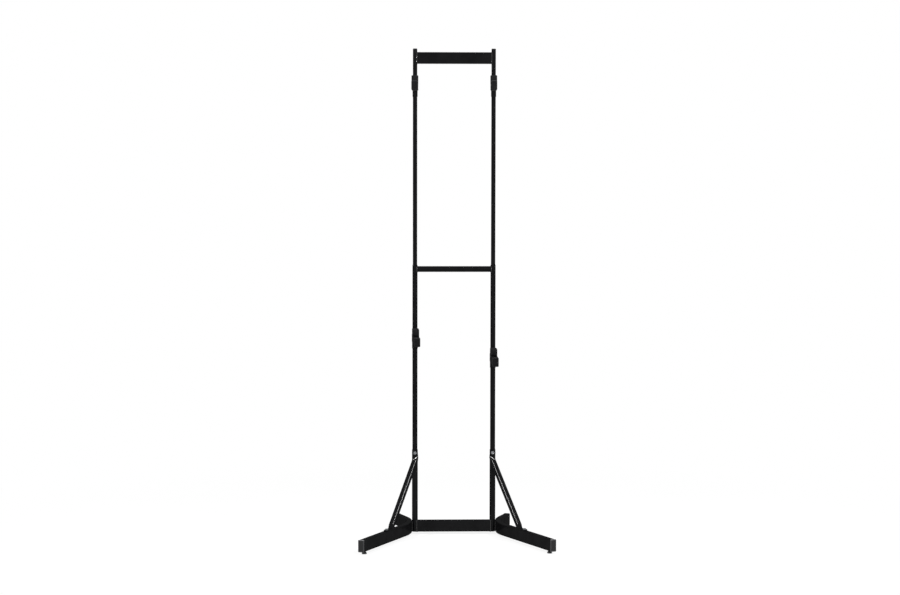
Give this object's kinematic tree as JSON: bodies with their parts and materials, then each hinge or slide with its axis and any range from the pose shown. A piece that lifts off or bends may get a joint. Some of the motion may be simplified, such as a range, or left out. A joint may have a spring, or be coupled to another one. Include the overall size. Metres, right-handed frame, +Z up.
{
  "type": "two tier bike rack",
  "caption": "Free-standing rack on splayed legs, with twin posts and adjustable padded arms that hold bicycles by their top tubes on two levels.",
  "frame": {"origin": "on the floor, under the middle of the rack's bounding box", "axes": "+Z up along the posts, +X along the crossbars, -Y to the front, where the arms point"},
  "size_m": [0.8356, 0.6802, 2.137],
  "materials": {
    "powder_coat": "satin black powder coat",
    "plastic": "matte black plastic",
    "rubber": "matte black rubber",
    "zinc": "dark zinc plate",
    "black_screws": "black oxide"
  },
  "bodies": {
    "frame": {"base_crossbar": "powder_coat", "middle_crossbar": "powder_coat", "top_plate": "powder_coat", "left_leg": "powder_coat", "left_lower_post": "powder_coat", "left_middle_post": "powder_coat", "left_upper_post": "powder_coat", "left_brace": "powder_coat", "left_post_cap": "plastic", "left_front_leg_cap": "plastic", "left_rear_leg_cap": "plastic", "right_leg": "powder_coat", "right_lower_post": "powder_coat", "right_middle_post": "powder_coat", "right_upper_post": "powder_coat", "right_brace": "powder_coat", "right_post_cap": "plastic", "right_front_leg_cap": "plastic", "right_rear_leg_cap": "plastic", "brace_top_bolts": "zinc", "brace_foot_bolts": "zinc", "m8_nuts": "zinc", "foot_lock_nuts": "black_screws", "post_lock_screws": "black_screws"},
    "upper_left_collar": {"upper_left_collar": "powder_coat"},
    "upper_left_clamp_screw": {"upper_left_clamp_screw": "black_screws"},
    "upper_left_arm": {"upper_left_sleeve": "powder_coat", "upper_left_arm_bar": "powder_coat", "upper_left_arm_cap": "plastic", "upper_left_cradle": "rubber"},
    "upper_right_collar": {"upper_right_collar": "powder_coat"},
    "upper_right_clamp_screw": {"upper_right_clamp_screw": "black_screws"},
    "upper_right_arm": {"upper_right_sleeve": "powder_coat", "upper_right_arm_bar": "powder_coat", "upper_right_arm_cap": "plastic", "upper_right_cradle": "rubber"},
    "lower_left_collar": {"lower_left_collar": "powder_coat"},
    "lower_left_clamp_screw": {"lower_left_clamp_screw": "black_screws"},
    "lower_left_arm": {"lower_left_sleeve": "powder_coat", "lower_left_arm_bar": "powder_coat", "lower_left_arm_cap": "plastic", "lower_left_cradle": "rubber"},
    "lower_right_collar": {"lower_right_collar": "powder_coat"},
    "lower_right_clamp_screw": {"lower_right_clamp_screw": "black_screws"},
    "lower_right_arm": {"lower_right_sleeve": "powder_coat", "lower_right_arm_bar": "powder_coat", "lower_right_arm_cap": "plastic", "lower_right_cradle": "rubber"},
    "left_front_foot_pad": {"left_front_foot_pad": "plastic"},
    "left_front_foot_stud": {"left_front_foot_stud": "zinc"},
    "left_rear_foot_pad": {"left_rear_foot_pad": "plastic"},
    "left_rear_foot_stud": {"left_rear_foot_stud": "zinc"},
    "right_front_foot_pad": {"right_front_foot_pad": "plastic"},
    "right_front_foot_stud": {"right_front_foot_stud": "zinc"},
    "right_rear_foot_pad": {"right_rear_foot_pad": "plastic"},
    "right_rear_foot_stud": {"right_rear_foot_stud": "zinc"}
  },
  "joints": [
    {"name": "upper_left_height", "type": "slide", "parent": "frame", "child": "upper_left_collar", "axis": [0, 0, 1], "range_m": [-0.73, 0.048]},
    {"name": "upper_left_swivel", "type": "hinge", "parent": "upper_left_collar", "child": "upper_left_arm", "pos_m": [-0.17145, 0.16776, 1.9547], "axis": [0, 0, 1], "range_deg": [-90, 90]},
    {"name": "upper_left_clamp", "type": "hinge", "parent": "upper_left_collar", "child": "upper_left_clamp_screw", "pos_m": [-0.17092, 0.18938, 1.94095], "axis": [0.0244, 0.9997, 0], "range_deg": [0, 720]},
    {"name": "upper_right_height", "type": "slide", "parent": "frame", "child": "upper_right_collar", "axis": [0, 0, 1], "range_m": [-0.73, 0.048]},
    {"name": "upper_right_swivel", "type": "hinge", "parent": "upper_right_collar", "child": "upper_right_arm", "pos_m": [0.17145, 0.16776, 1.9555], "axis": [0, 0, 1], "range_deg": [-90, 90]},
    {"name": "upper_right_clamp", "type": "hinge", "parent": "upper_right_collar", "child": "upper_right_clamp_screw", "pos_m": [0.17228, 0.18937, 1.94175], "axis": [0.0384, 0.9993, 0], "range_deg": [0, 720]},
    {"name": "lower_left_height", "type": "slide", "parent": "frame", "child": "lower_left_collar", "axis": [0, 0, 1], "range_m": [-0.44, 0.24]},
    {"name": "lower_left_swivel", "type": "hinge", "parent": "lower_left_collar", "child": "lower_left_arm", "pos_m": [-0.17145, 0.16776, 0.8528], "axis": [0, 0, 1], "range_deg": [-90, 90]},
    {"name": "lower_left_clamp", "type": "hinge", "parent": "lower_left_collar", "child": "lower_left_clamp_screw", "pos_m": [-0.17206, 0.19098, 0.83905], "axis": [-0.0262, 0.9997, 0], "range_deg": [0, 720]},
    {"name": "lower_right_height", "type": "slide", "parent": "frame", "child": "lower_right_collar", "axis": [0, 0, 1], "range_m": [-0.355, 0.32]},
    {"name": "lower_right_swivel", "type": "hinge", "parent": "lower_right_collar", "child": "lower_right_arm", "pos_m": [0.17145, 0.16776, 0.7666], "axis": [0, 0, 1], "range_deg": [-90, 90]},
    {"name": "lower_right_clamp", "type": "hinge", "parent": "lower_right_collar", "child": "lower_right_clamp_screw", "pos_m": [0.17133, 0.19099, 0.75285], "axis": [-0.0052, 1, 0], "range_deg": [0, 720]},
    {"name": "left_front_foot_level", "type": "slide", "parent": "frame", "child": "left_front_foot_pad", "axis": [0, 0, -1], "range_m": [0, 0.01]},
    {"name": "left_front_foot_turn", "type": "hinge", "parent": "left_front_foot_pad", "child": "left_front_foot_stud", "pos_m": [-0.39159, -0.30471, 0.008], "axis": [0, 0, -1], "range_deg": [0, 2880]},
    {"name": "left_rear_foot_level", "type": "slide", "parent": "frame", "child": "left_rear_foot_pad", "axis": [0, 0, -1], "range_m": [0, 0.01]},
    {"name": "left_rear_foot_turn", "type": "hinge", "parent": "left_rear_foot_pad", "child": "left_rear_foot_stud", "pos_m": [-0.23667, 0.31119, 0.008], "axis": [0, 0, -1], "range_deg": [0, 2880]},
    {"name": "right_front_foot_level", "type": "slide", "parent": "frame", "child": "right_front_foot_pad", "axis": [0, 0, -1], "range_m": [0, 0.01]},
    {"name": "right_front_foot_turn", "type": "hinge", "parent": "right_front_foot_pad", "child": "right_front_foot_stud", "pos_m": [0.39159, -0.30471, 0.008], "axis": [0, 0, -1], "range_deg": [0, 2880]},
    {"name": "right_rear_foot_level", "type": "slide", "parent": "frame", "child": "right_rear_foot_pad", "axis": [0, 0, -1], "range_m": [0, 0.01]},
    {"name": "right_rear_foot_turn", "type": "hinge", "parent": "right_rear_foot_pad", "child": "right_rear_foot_stud", "pos_m": [0.23667, 0.31119, 0.008], "axis": [0, 0, -1], "range_deg": [0, 2880]}
  ],
  "couplings": [
    {"joint": "left_front_foot_turn", "follows": "left_front_foot_level", "rad_per_m": 5026.5},
    {"joint": "left_rear_foot_turn", "follows": "left_rear_foot_level", "rad_per_m": 5026.5},
    {"joint": "right_front_foot_turn", "follows": "right_front_foot_level", "rad_per_m": 5026.5},
    {"joint": "right_rear_foot_turn", "follows": "right_rear_foot_level", "rad_per_m": 5026.5}
  ]
}
